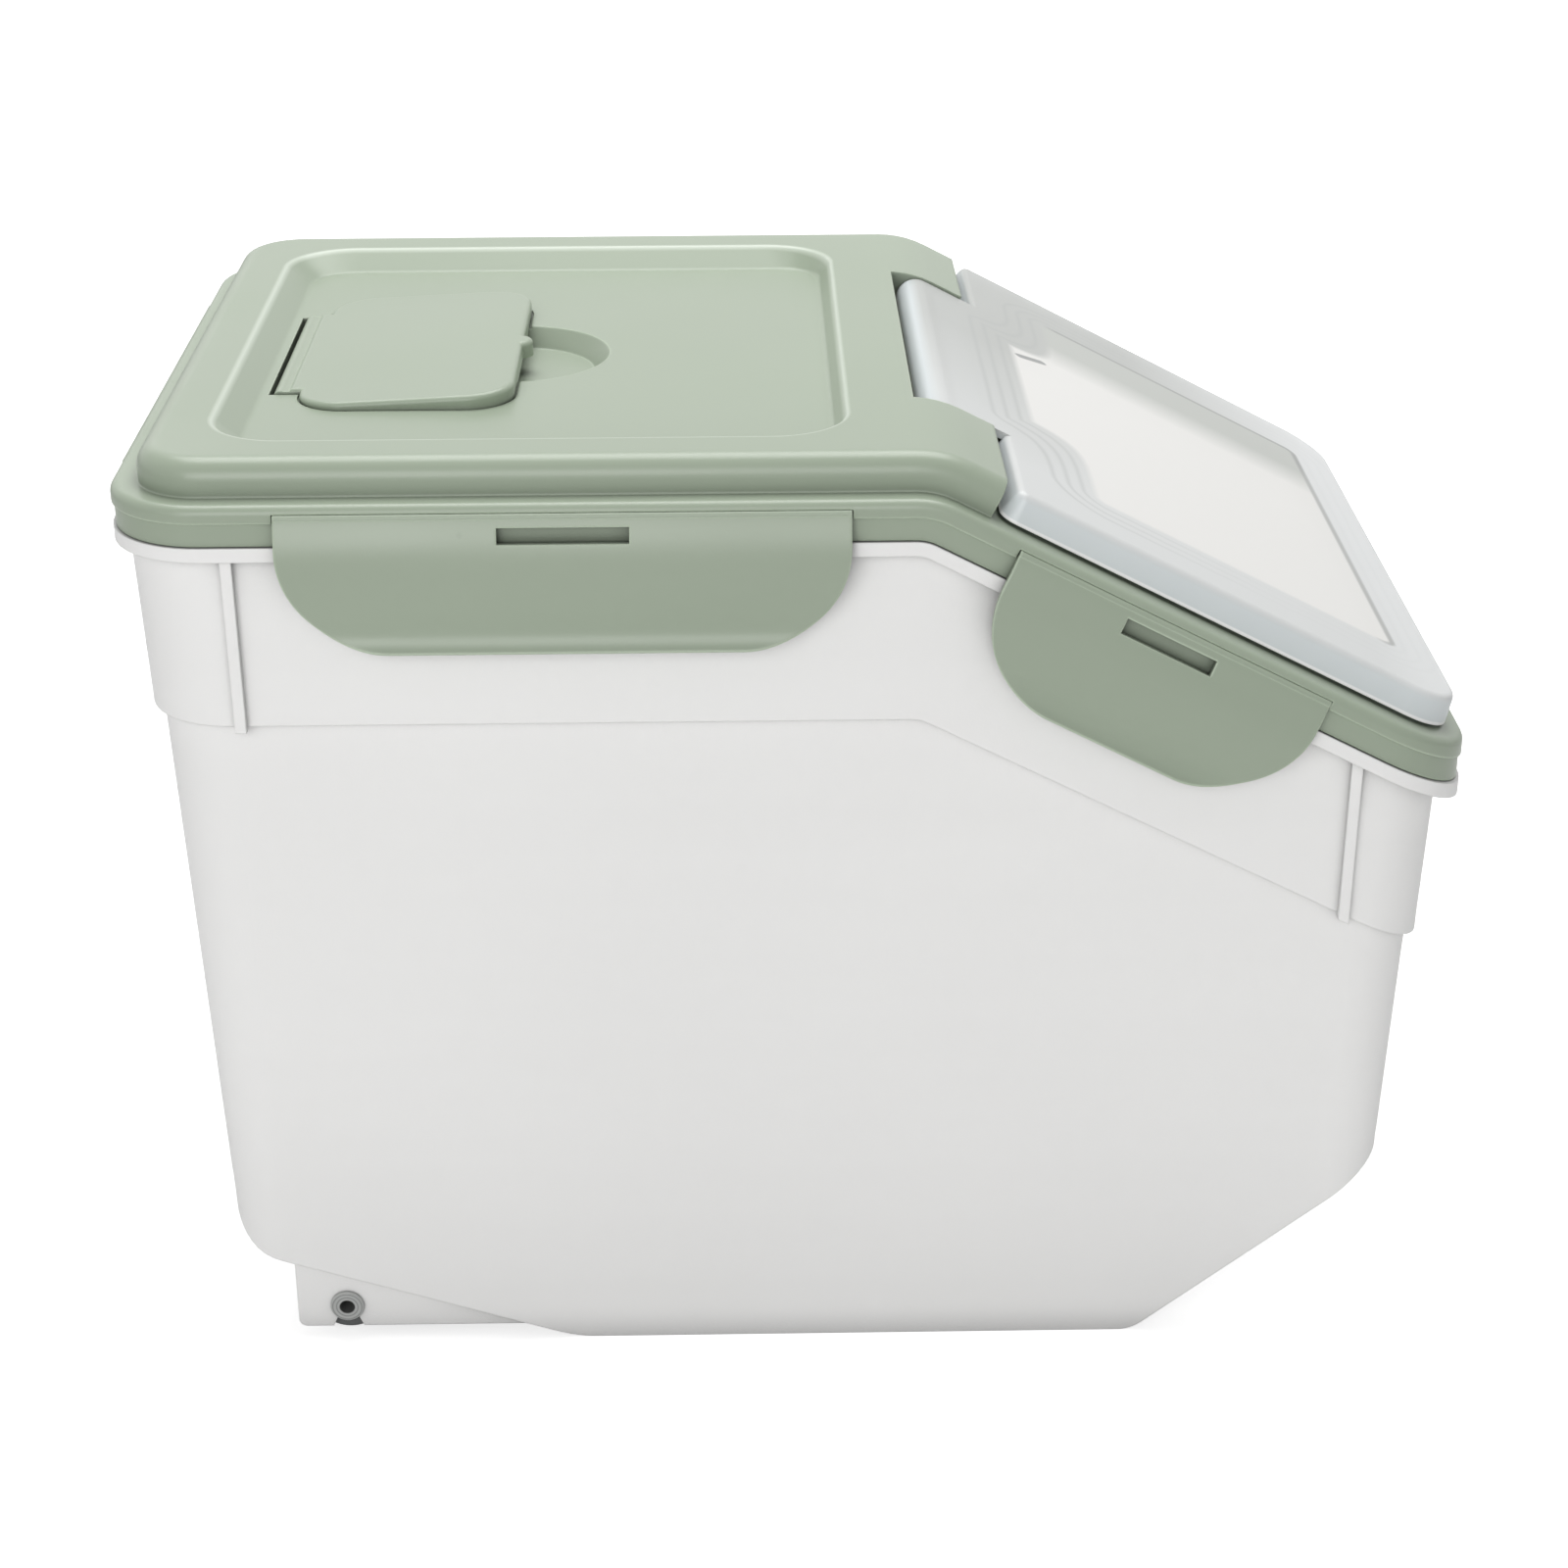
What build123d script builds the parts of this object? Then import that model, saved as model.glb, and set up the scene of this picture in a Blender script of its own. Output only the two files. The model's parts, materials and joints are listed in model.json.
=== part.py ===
from build123d import *
import math
import os

# Frame: millimetres, +Z up, +X to the pouring front, origin under the middle of the lid on the floor.

# Lid outline and the bent rim that the tub and the lid share
lid_length = 390.0
lid_width = 260.0
lid_corner = 28.0
rim_height = 272.0
slope_angle = 27.5
bend_x = 33.6
bend_radius = 8.0

# Tub
tub_wall = 2.5
tub_draft = 2.4
tub_shift = 0.6
tub_corner = 14.0
end_overhang = 2.7
side_overhang = 4.5
band_height = 52.3
band_step = 2.9
flange_thickness = 4.2
flange_reach_in = 6.9
upstand_inset = 4.4
upstand_height = 4.3
base_rear_inset = 123.0
base_front_inset = 90.0
rear_rise_angle = 18.5
front_rise_angle = 39.6
heel_radius = 18.0
keel_radius = 40.0
toe_radius = 6.0
chin_radius = 12.0
rib_width = 3.3
rib_depth = 2.4
rib_overrun = 1.3
rib_inset = 34.6

# Wheels, axles and their brackets
wheel_radius = 11.3
wheel_width = 20.0
wheel_lift = 0.4
wheel_inset = 49.8
wheel_edge = 1.2
wheel_fit = 0.1
axle_radius = 3.5
axle_bore = 2.35
axle_head_radius = 5.3
axle_head = 1.2
axle_bead = 0.6
axle_fit = 0.05
axle_end_gap = 0.1
cheek_wall = 2.6
cheek_recess = 2.4
cheek_inset = 34.0
cheek_bottom = 3.8
cheek_gap = 1.0
notch_mouth = 10.6
notch_lead = 3.0

# Lid shell
lid_skin = 2.2
lid_gap = 0.3
skirt_inset = 0.8
skirt_height = 9.0
shelf_rise = 2.7
shelf_width = 8.0
shelf_round = 2.6
plateau_rise = 10.5
plateau_round = 6.0
lip_drop = 8.0
ear_round = 1.4

# Recessed panel on the level part of the lid
panel_rear = -169.0
panel_front = 14.0
panel_half_width = 103.5
panel_corner = 22.0
panel_depth = 6.4
panel_slant = 8.0
panel_slant_front = 4.0
panel_corner_floor = 14.0
panel_round = 1.2
panel_foot_round = 2.0

# Hinge slot and ears
slot_rear = 33.7
slot_half_width = 68.5
ear_reach = 13.0

# Flip lid
flip_plate = 2.2
flip_top = 25.9
flip_skirt_bottom = 17.2
flip_half_width = 121.0
flip_rear = 15.6
flip_front = 166.6
flip_corner = 18.0
flip_rear_corner = 5.0
flip_draft = 14.0
flip_round = 2.2
tongue_gap = 0.8
barrel_radius = 6.3
barrel_rib = 2.0
barrel_rib_y = 22.0
pivot_along = -1.0
flip_pin_radius = 2.5
flip_pin_length = 1.7
flip_fit = 0.05

# Pouring mouth, its collar and the flip lid's seal
mouth_rear = 30.6
mouth_front = 145.6
mouth_half_width = 86.0
neck_rear = 18.6
neck_half_width = 42.0
mouth_corner = 10.0
collar_wall = 2.4
collar_height = 4.6
seal_width = 4.4
seal_seat = 0.1
seal_gap = 0.3
seal_rib = 1.2
seal_rib_gap = 0.2
seal_rib_rise = 0.8

# Hatch door and the moisture box below it
hatch_hinge_x = -155.0
hatch_tab_half = 40.4
hatch_half = 57.0
hatch_shoulder = -149.0
hatch_front = -84.5
hatch_corner = 14.0
hatch_rear_height = 2.2
hatch_front_height = 5.2
hatch_wall = 1.9
hatch_lift = 0.4
hatch_sink = 0.9
hatch_gap = 0.7
hatch_round = 1.5
hatch_link = 2.4
knuckle_radius = 2.6
knuckle_drop = 1.7
knuckle_room = 1.0
hatch_pin_radius = 1.1
hatch_pin_length = 1.5
hatch_fit = 0.05
nub_radius = 4.5
nub_reach = 3.0
scoop_reach = 27.0
scoop_half_width = 30.0
scoop_depth = 6.0
scoop_under = 3.0
scoop_slant = 5.0
box_margin = 6.0
box_depth = 20.0
box_wall = 2.0
vent_width = 3.0
vent_pitch = 8.0
vent_length = 36.0
vent_count = 12

# Latches
latch_thickness = 1.8
latch_height = 38.7
latch_corner = 30.0
latch_roll = 1.1
latch_drop = 0.8
latch_bulge = 4.2
latch_waist = 2.6
latch_lip = 5.2
latch_bulge_drop = 15.0
latch_waist_drop = 30.0
latch_gap = 0.3
latch_fit = 0.1
latch_end_gap = 0.4
side_latch_centre = -66.2
side_latch_length = 159.5
front_latch_centre = 73.8
front_latch_length = 101.0
back_latch_length = 160.0
slot_height = 4.5
slot_drop = 1.4
side_slot_length = 36.6
front_slot_length = 29.0
catch_share = 0.4
catch_depth = 2.4

# Lid gasket
gasket_clearance = 0.3
gasket_seat = 0.1

far = 600.0
tan_draft = math.tan(math.radians(tub_draft))
sin_slope = math.sin(math.radians(slope_angle))
cos_slope = math.cos(math.radians(slope_angle))
half_length = lid_length / 2
half_width = lid_width / 2
base_rear = base_rear_inset - half_length
base_front = half_length - base_front_inset
wheel_x = wheel_inset - half_length
cheek_rear = cheek_inset - half_length

# Heights above the rim's underside, measured square to the bent rim
flange_top = flange_thickness
upstand_top = flange_top + upstand_height
skirt_bottom = flange_top + lid_gap
shelf_edge = skirt_bottom + skirt_height
shelf_top = shelf_edge + shelf_rise
shelf_under = shelf_edge - lid_skin
plateau_top = shelf_top + plateau_rise
collar_top = shelf_top + collar_height
flip_under = flip_top - flip_plate
pivot_height = flip_top - barrel_radius

bend_centre_z = rim_height - bend_radius
slope_start = bend_x - bend_radius * math.tan(math.radians(slope_angle / 2))
slope_plane = Plane(
    origin=(bend_x, 0, rim_height),
    x_dir=(cos_slope, 0, -sin_slope),
    z_dir=(sin_slope, 0, cos_slope),
)


def slope_point(along, height):
    x = bend_x + along * cos_slope + height * sin_slope
    z = rim_height - along * sin_slope + height * cos_slope
    return x, z


pivot_x, pivot_z = slope_point(pivot_along, pivot_height)
level_top = rim_height + plateau_top
panel_floor = level_top - panel_depth
hatch_hinge_z = panel_floor - knuckle_drop
hatch_ledge = panel_floor - hatch_sink
hatch_under = hatch_ledge + hatch_lift
axle_z = wheel_radius + wheel_lift


# Shapes that follow the bent rim
def height_above_rim(point):
    dx = point.X - slope_start
    dz = point.Z - bend_centre_z
    if dx * cos_slope - dz * sin_slope > 0:
        return dx * sin_slope + dz * cos_slope - bend_radius
    if dx < 0:
        return dz - bend_radius
    return math.hypot(dx, dz) - bend_radius


def prism_xz(face):
    return extrude(face, amount=far / 2, both=True)


def below_rim(height, drop=0.0):
    """Everything under the bent line that lies a given height above the rim."""
    radius = bend_radius + height
    top = bend_centre_z + radius - drop
    turn = (slope_start + radius * sin_slope, bend_centre_z + radius * cos_slope - drop)
    mid = math.radians(slope_angle / 2)
    crest = (slope_start + radius * math.sin(mid), bend_centre_z + radius * math.cos(mid) - drop)
    end = (turn[0] + far * cos_slope, turn[1] - far * sin_slope)
    with BuildSketch(Plane.XZ) as sketch:
        with BuildLine():
            Line((-far, top), (slope_start, top))
            ThreePointArc((slope_start, top), crest, turn)
            Line(turn, end)
            Line(end, (end[0], -far))
            Line((end[0], -far), (-far, -far))
            Line((-far, -far), (-far, top))
        make_face()
    return prism_xz(sketch.sketch)


def rim_layer(low, high):
    return below_rim(high) - below_rim(low)


def lid_plan(inset):
    """Upright block with the lid's rounded outline, smaller all round by the inset."""
    outline = RectangleRounded(lid_length - 2 * inset, lid_width - 2 * inset, lid_corner - inset)
    return extrude(outline, amount=far)


def lid_ring(outer_inset, inner_inset, low, high):
    return (lid_plan(outer_inset) - lid_plan(inner_inset)) & rim_layer(low, high)


def rounded_top(part, height, radius):
    """Rounds the outer edges of a bent slab's top."""
    edges = [e for e in part.edges() if is_outer_edge(e, height)]
    return part.solid().fillet(radius, edges)


def is_outer_edge(edge, height):
    point = edge @ 0.5
    on_top = abs(height_above_rim(point) - height) < 0.01
    across = abs(point.Y) < 1 and abs(point.X) < half_length / 2
    return on_top and not across


# Plain solids
def block(x0, x1, y0, y1, z0, z1):
    return Pos((x0 + x1) / 2, (y0 + y1) / 2, (z0 + z1) / 2) * Box(x1 - x0, y1 - y0, z1 - z0)


def wide_block(x0, x1, half, z0, z1):
    return block(x0, x1, -half, half, z0, z1)


def rod(radius, y0, y1, x, z):
    return Pos(x, (y0 + y1) / 2, z) * Rot(90, 0, 0) * Cylinder(radius, y1 - y0)


def slope_block(a0, a1, half, h0, h1):
    """Box square to the slope: along it, to both sides and above the rim."""
    return slope_plane * wide_block(a0, a1, half, h0, h1)


def mirrored(part):
    return mirror(part, about=Plane.XZ)


# Tub outline at the floor, found from the lid above it
base_half_length = half_length - end_overhang - band_step - rim_height * tan_draft
base_half_width = half_width - side_overhang - band_step - rim_height * tan_draft
cheek_outer = base_half_width + cheek_bottom * tan_draft - cheek_recess
cheek_inner = cheek_outer - 2 * cheek_wall - 2 * cheek_gap - wheel_width


def tub_column(inset):
    """Drafted column of the tub's walls, from the floor to above the rim."""
    outline = RectangleRounded(
        2 * (base_half_length - inset), 2 * (base_half_width - inset), tub_corner - inset
    )
    return Pos(tub_shift, 0, 0) * extrude(outline, amount=rim_height + 40, taper=-tub_draft)


def underside_profile(inset):
    """Side profile of the tub: drafted ends, rising heel, flat base and steep chin."""
    rear = tub_shift - base_half_length
    front = tub_shift + base_half_length
    rear_tan = math.tan(math.radians(rear_rise_angle))
    front_tan = math.tan(math.radians(front_rise_angle))
    heel_z = (base_rear - rear) * rear_tan / (1 - tan_draft * rear_tan)
    heel_x = base_rear - heel_z / rear_tan
    toe_z = (front - base_front) * front_tan / (1 - tan_draft * front_tan)
    toe_x = base_front + toe_z / front_tan
    top = rim_height + 40
    corners = [
        (rear - top * tan_draft, top),
        (heel_x, heel_z),
        (base_rear, 0),
        (base_front, 0),
        (toe_x, toe_z),
        (front + top * tan_draft, top),
    ]
    outline = make_face(Plane.XZ * Polyline(*corners, close=True))
    radii = {1: heel_radius, 2: keel_radius, 3: chin_radius, 4: toe_radius}
    for index, radius in radii.items():
        x, z = corners[index]
        corner = outline.vertices().sort_by_distance(Vector(x, 0, z))[0]
        outline = fillet(corner, radius)
    if inset:
        outline = offset(outline, amount=-inset, kind=Kind.INTERSECTION)
    return prism_xz(outline)


def make_cheek():
    """One pair of wheel cheeks under the tub's heel, with the notch that takes the axle."""
    heel_tan = math.tan(math.radians(rear_rise_angle))
    tip_x = base_rear - (cheek_bottom - tub_wall / 2) / heel_tan
    rear_top = (base_rear - cheek_rear) * heel_tan + tub_wall / 2
    outline = Polyline((cheek_rear, cheek_bottom), (tip_x, cheek_bottom), (cheek_rear, rear_top), close=True)
    face = make_face(Plane.XZ * outline)
    foot = face.vertices().sort_by_distance(Vector(cheek_rear, 0, cheek_bottom))[0]
    face = fillet(foot, cheek_wall)
    throat = axle_radius + axle_fit
    lead = cheek_bottom + notch_lead
    below = cheek_bottom - 1
    notch = Polyline(
        (wheel_x - throat, axle_z),
        (wheel_x - throat, lead),
        (wheel_x - notch_mouth / 2, below),
        (wheel_x + notch_mouth / 2, below),
        (wheel_x + throat, lead),
        (wheel_x + throat, axle_z),
        close=True,
    )
    face = face - make_face(Plane.XZ * notch) - Plane.XZ * Pos(wheel_x, axle_z) * Circle(throat)
    plate = extrude(face, amount=cheek_wall)
    return Pos(0, cheek_wall - cheek_outer, 0) * plate + Pos(0, -cheek_inner, 0) * plate


def make_ribs():
    """Upright ribs at both ends of the band, on both sides."""
    proud = tub_column(-band_step - rib_depth) - tub_column(1 - band_step)
    zone = below_rim(1) - below_rim(0, band_height + rib_overrun)
    x = half_length - rib_inset
    bar = wide_block(x - rib_width / 2, x + rib_width / 2, half_width, 0, far)
    return proud & zone & (bar + mirror(bar, about=Plane.YZ))


def make_tub():
    """Thin-walled tub: drafted body, stepped band, rim flange, upstand, ribs and cheeks."""
    ledge = band_height - tub_wall
    body = tub_column(0) & underside_profile(0) & below_rim(0.5)
    band = (tub_column(-band_step) & below_rim(0.5)) - below_rim(0, band_height)
    body = body + band
    body += lid_plan(0) & rim_layer(0, flange_top)
    body += lid_plan(upstand_inset) & rim_layer(flange_top - 1, upstand_top)
    body += make_ribs()
    body -= tub_column(tub_wall) & underside_profile(tub_wall) & below_rim(0, ledge)
    body -= (tub_column(tub_wall - band_step) & below_rim(0)) - below_rim(0, ledge + 0.01)
    body -= lid_plan(flange_reach_in) & rim_layer(-0.01, upstand_top + 1)
    cheek = make_cheek()
    return body + cheek + mirrored(cheek)


def make_wheel():
    """Roller turning on its hollow axle between two cheeks."""
    outer = cheek_outer - cheek_wall - cheek_gap
    wheel = rod(wheel_radius, -outer, wheel_width - outer, wheel_x, axle_z)
    wheel = chamfer(wheel.edges().filter_by(GeomType.CIRCLE), wheel_edge)
    return wheel - rod(axle_radius + wheel_fit, -outer - 1, wheel_width - outer + 1, wheel_x, axle_z)


def make_axle():
    """Hollow snap axle with a flanged outer end and a small bead behind the inner cheek."""
    start = -cheek_outer - axle_end_gap
    bead = 2 * axle_end_gap - cheek_inner
    tail = bead + 2 * axle_head
    head = rod(axle_head_radius, start - axle_head, start, wheel_x, axle_z)
    head = chamfer(head.edges().filter_by(GeomType.CIRCLE).sort_by(Axis.Y)[0], axle_head / 3)
    axle = rod(axle_radius, start - axle_head / 2, tail, wheel_x, axle_z) + head
    axle += rod(axle_radius + axle_bead, bead, bead + axle_head, wheel_x, axle_z)
    return axle - rod(axle_bore, start - 2 * axle_head, tail + 1, wheel_x, axle_z)


# Outlines in the lid
def mouth_outline(margin):
    """The pouring mouth on the slope: a wide opening with a narrower neck at its rear."""
    wide = Pos((mouth_rear + mouth_front) / 2, 0) * RectangleRounded(
        mouth_front - mouth_rear + 2 * margin, 2 * (mouth_half_width + margin), mouth_corner + margin
    )
    neck_length = mouth_rear + 2 * mouth_corner - neck_rear
    neck = Pos(neck_rear + neck_length / 2, 0) * RectangleRounded(
        neck_length + 2 * margin, 2 * (neck_half_width + margin), mouth_corner / 2 + margin
    )
    return wide + neck


def mouth_prism(margin, low, high):
    return slope_plane * Pos(0, 0, low) * extrude(mouth_outline(margin), amount=high - low)


def mouth_ring(outer, inner, low, high):
    return mouth_prism(outer, low, high) - mouth_prism(inner, low - 1, high + 1)


def panel_shape(wall, deeper):
    """Dished panel, or with a wall thickness the material that lines it."""
    length = panel_front - panel_rear
    top = RectangleRounded(length + 2 * wall, 2 * (panel_half_width + wall), panel_corner + wall)
    floor_rear = panel_rear + panel_slant - wall / 2
    floor_front = panel_front - panel_slant_front + wall / 2
    floor = RectangleRounded(
        floor_front - floor_rear,
        2 * (panel_half_width - panel_slant + wall / 2),
        panel_corner_floor,
    )
    top = Pos((panel_front + panel_rear) / 2, 0, level_top) * top
    floor = Pos((floor_front + floor_rear) / 2, 0, panel_floor - deeper) * floor
    return loft([floor, top], ruled=True)


def panel_edges(part, height):
    """Edges of the panel's contour that lie level at the given height."""
    edges = part.edges().filter_by_position(Axis.X, panel_rear - 1, panel_front + 1)
    edges = edges.filter_by_position(Axis.Y, -panel_half_width - 1, panel_half_width + 1)
    return edges.filter_by_position(Axis.Z, height - 0.01, height + 0.01)


def hatch_outline(margin):
    """Plan of the hatch: hinge tab and wide body with rounded corners."""
    centre = (hatch_shoulder + hatch_front) / 2
    wide = Pos(centre, 0) * RectangleRounded(
        hatch_front - hatch_shoulder + 2 * margin, 2 * (hatch_half + margin), hatch_corner + margin
    )
    tab_rear = hatch_hinge_x + hatch_link - margin
    tab = Pos((centre + tab_rear) / 2, 0) * Rectangle(centre - tab_rear, 2 * (hatch_tab_half + margin))
    return wide + tab


def box_outline(margin):
    """Plan of the moisture box below the hatch."""
    return Pos((hatch_shoulder + hatch_front) / 2, 0) * RectangleRounded(
        hatch_front - hatch_shoulder - 2 * box_margin + 2 * margin,
        2 * (hatch_half - box_margin + margin),
        hatch_corner - box_margin + margin,
    )


def scoop_solid(wall):
    """Dish for a finger in front of the hatch, or the material that lines it."""
    radius = (scoop_half_width**2 + scoop_reach**2) / (2 * scoop_reach)
    centre = hatch_front + scoop_reach - radius
    depth = scoop_depth + wall
    dish = Cone(radius - scoop_slant + wall, radius + wall, depth)
    dish = Pos(centre, 0, panel_floor - depth / 2) * dish
    return dish & wide_block(hatch_front - scoop_under, far, half_width, 0, far)


# Lid frame
def lid_shell():
    """Skirt, shelf, locating lip and raised plateau of the bent lid, as a thin shell."""
    shelf = lid_plan(0) & rim_layer(shelf_under, shelf_top)
    shelf = rounded_top(shelf, shelf_top, shelf_round)
    plateau = lid_plan(shelf_width) & rim_layer(shelf_under - lip_drop, plateau_top)
    plateau = rounded_top(plateau, plateau_top, plateau_round)
    plateau -= slope_block(ear_reach, far, half_width, shelf_top - 1, far)
    shell = shelf + plateau
    shell += lid_ring(skirt_inset, skirt_inset + lid_skin, skirt_bottom, shelf_edge)
    hollow = lid_plan(shelf_width + lid_skin)
    shell -= hollow & below_rim(shelf_top - lid_skin)
    crown = hollow & below_rim(plateau_top - lid_skin)
    return shell - (crown - slope_block(ear_reach - lid_skin, far, half_width, shelf_under, far))


def trough(wall):
    """Room for the flip lid's hinge barrel between the ears, or the material that lines it."""
    radius = pivot_x - slot_rear + wall
    half = slot_half_width + wall
    room = rod(radius, -half, half, pivot_x, pivot_z)
    room += wide_block(slot_rear - wall, pivot_x, half, pivot_z, level_top + 1)
    return room + slope_block(pivot_along, ear_reach + 1, half, shelf_top - wall, plateau_top + 9)


def hinge_pocket(wall):
    """Room for the hatch's knuckle, or the material that lines it."""
    rear = hatch_hinge_x - knuckle_radius - knuckle_room
    floor = hatch_hinge_z - knuckle_radius - knuckle_room
    half = hatch_tab_half + hatch_gap
    return wide_block(rear - wall, hatch_shoulder + 1 + wall, half + wall, floor - wall, level_top)


def level_prism(outline, low, high):
    return Pos(0, 0, low) * extrude(outline, amount=high - low)


def lid_linings():
    """Material behind the panel, the hinge trough, the hatch, the scoop and the moisture box."""
    linings = panel_shape(lid_skin, lid_skin)
    linings += trough(lid_skin)
    linings += hinge_pocket(lid_skin) & wide_block(-far, far, half_width, 0, panel_floor)
    linings += level_prism(hatch_outline(hatch_gap + lid_skin), hatch_ledge - lid_skin, panel_floor)
    linings += level_prism(box_outline(box_wall), panel_floor - box_depth - box_wall, panel_floor)
    linings += scoop_solid(lid_skin)
    inside = lid_plan(shelf_width + 1) & below_rim(plateau_top - 0.5)
    inside -= slope_block(ear_reach, far, half_width, shelf_top - 1, far)
    return linings & inside


def vents():
    """Row of slots in the moisture box's floor."""
    low = panel_floor - box_depth - box_wall - 1
    centre = (hatch_shoulder + hatch_front) / 2
    first = -vent_pitch * (vent_count - 1) / 2
    slots = [
        block(
            centre - vent_length / 2,
            centre + vent_length / 2,
            first + index * vent_pitch - vent_width / 2,
            first + index * vent_pitch + vent_width / 2,
            low,
            low + box_wall + 2,
        )
        for index in range(vent_count)
    ]
    return slots


def flip_bores():
    reach = slot_half_width - tongue_gap + flip_pin_length + 0.2
    return rod(flip_pin_radius + flip_fit, -reach, reach, pivot_x, pivot_z)


def hatch_bores():
    reach = hatch_tab_half + hatch_pin_length + 0.2
    return rod(hatch_pin_radius + hatch_fit, -reach, reach, hatch_hinge_x, hatch_hinge_z)


def make_lid_frame():
    """Bent lid with its panel, hinge trough, pouring mouth and moisture box."""
    lid = lid_shell() + lid_linings()
    lid += mouth_prism(collar_wall, shelf_top - lid_skin, collar_top)
    lid -= panel_shape(0, 0)
    lid = fillet(panel_edges(lid, level_top), panel_round)
    lid = fillet(panel_edges(lid, panel_floor), panel_foot_round)
    lid -= trough(0)
    lid -= mouth_prism(0, shelf_under - lip_drop, collar_top + 1)
    lid -= level_prism(hatch_outline(hatch_gap), hatch_ledge, level_top)
    lid -= hinge_pocket(0)
    lid -= level_prism(box_outline(0), panel_floor - box_depth, level_top)
    lid -= scoop_solid(0)
    lid -= flip_bores()
    lid -= hatch_bores()
    for slot in vents():
        lid -= slot
    for latch_room in latch_rooms():
        lid -= latch_room
    return lid


def make_lid_gasket():
    """Soft ring under the shelf that closes on the tub's upstand."""
    outer = skirt_inset + lid_skin + gasket_clearance
    inner = shelf_width - gasket_clearance
    return lid_ring(outer, inner, upstand_top + gasket_clearance, shelf_under - gasket_seat)


# Flip lid
def flip_cover(inset, height):
    """Drafted block of the flip lid with wide front corners and tight rear ones."""
    outline = Rectangle(flip_front - flip_rear - 2 * inset, 2 * (flip_half_width - inset))
    outline = fillet(outline.vertices().group_by(Axis.X)[-1], flip_corner - inset)
    outline = fillet(outline.vertices().group_by(Axis.X)[0], flip_rear_corner - inset)
    return Pos((flip_front + flip_rear) / 2, 0) * extrude(outline, amount=height, taper=flip_draft)


def make_flip_lid():
    """Clear flip lid: dished plate with a skirt, a tongue, a hinge barrel and two seal ribs."""
    cover = flip_cover(0, flip_top - flip_skirt_bottom)
    cover = fillet(cover.faces().sort_by(Axis.Z)[-1].edges(), flip_round)
    cover -= flip_cover(flip_plate, flip_under - flip_skirt_bottom)
    cover = slope_plane * Pos(0, 0, flip_skirt_bottom) * cover
    half = slot_half_width - tongue_gap
    tongue_end = flip_rear + 3 * flip_plate
    cover -= slope_block(flip_rear - 1, tongue_end, half, flip_skirt_bottom - 1, flip_under)
    cover += slope_block(pivot_along, tongue_end, half, flip_under, flip_top)
    cover += hinge_barrel(half)
    low = collar_top + seal_rib_rise
    outer = collar_wall / 2 + seal_width / 2 + seal_rib_gap
    inner = collar_wall / 2 - seal_width / 2 - seal_rib_gap
    cover += mouth_ring(outer + seal_rib, outer, low, flip_under + 0.1)
    return cover + mouth_ring(inner, inner - seal_rib, low, flip_under + 0.1)


def hinge_barrel(half):
    """Rolled hinge edge, open below, with stiffening discs and two pins."""
    barrel = rod(barrel_radius, -half, half, pivot_x, pivot_z)
    inner = barrel_radius - flip_plate
    stops = [-half + barrel_rib, -barrel_rib_y, barrel_rib_y, half - barrel_rib]
    for start, end in zip(stops[:-1], stops[1:]):
        start += barrel_rib / 2
        end -= barrel_rib / 2
        cavity = rod(inner, start, end, pivot_x, pivot_z)
        cavity += slope_plane * block(
            pivot_along - inner, pivot_along + inner, start, end, pivot_height - 2 * barrel_radius, pivot_height
        )
        barrel -= cavity
    reach = half + flip_pin_length
    pins = rod(flip_pin_radius, -reach, reach, pivot_x, pivot_z)
    pins -= rod(flip_pin_radius + 1, -half + 0.5, half - 0.5, pivot_x, pivot_z)
    return barrel + pins


def make_flip_gasket():
    """Soft seal in the flip lid that closes on the mouth's collar."""
    outer = collar_wall / 2 + seal_width / 2
    inner = collar_wall / 2 - seal_width / 2
    return mouth_ring(outer, inner, collar_top + seal_gap, flip_under - seal_seat)


# Hatch door
def make_hatch_door():
    """Door of the moisture box with rounded edges, a knuckle with two pins and a finger nub."""
    nub = Pos(hatch_front - nub_radius + nub_reach, 0) * Circle(nub_radius)
    plate = extrude(hatch_outline(0) + nub, amount=2 * hatch_front_height)
    rise = math.atan2(hatch_front_height - hatch_rear_height, hatch_front - hatch_shoulder)
    below_top = Rot(0, -math.degrees(rise), 0) * wide_block(-far, far, half_width, -far, 0)
    plate &= Pos(hatch_front, 0, hatch_front_height) * below_top
    top = plate.faces().sort_by(Axis.Z)[-1]
    plate = fillet(top.edges(), hatch_round)
    hollow = extrude(hatch_outline(-hatch_wall), amount=2 * hatch_front_height)
    plate -= hollow & Pos(hatch_front, 0, hatch_front_height - hatch_wall) * below_top
    plate = Pos(0, 0, hatch_under) * plate
    half = hatch_tab_half
    link = wide_block(hatch_hinge_x, hatch_shoulder + 1, half, hatch_under, hatch_hinge_z + hatch_link)
    knuckle = rod(knuckle_radius, -half, half, hatch_hinge_x, hatch_hinge_z)
    reach = half + hatch_pin_length
    pins = rod(hatch_pin_radius, -reach, reach, hatch_hinge_x, hatch_hinge_z)
    return plate + link + knuckle + pins


# Latches: drawn outward from the lid's edge and downward from their hinge line
hinge_height = shelf_edge - latch_drop


def latch_face(shift):
    """Three tangent arcs down a latch's face: bulge, waist and flared lip."""
    bulge = (latch_bulge + shift, -latch_bulge_drop)
    waist = (latch_waist + shift, -latch_waist_drop)
    lip = (latch_lip + shift, -latch_height)
    root = (latch_roll - latch_fit + shift, -latch_roll / 3)
    upper = TangentArc(bulge, root, tangent=(0, 1))
    middle = TangentArc(bulge, waist, tangent=(0, -1))
    lower = TangentArc(waist, lip, tangent=middle % 1)
    return upper, middle, lower


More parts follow.
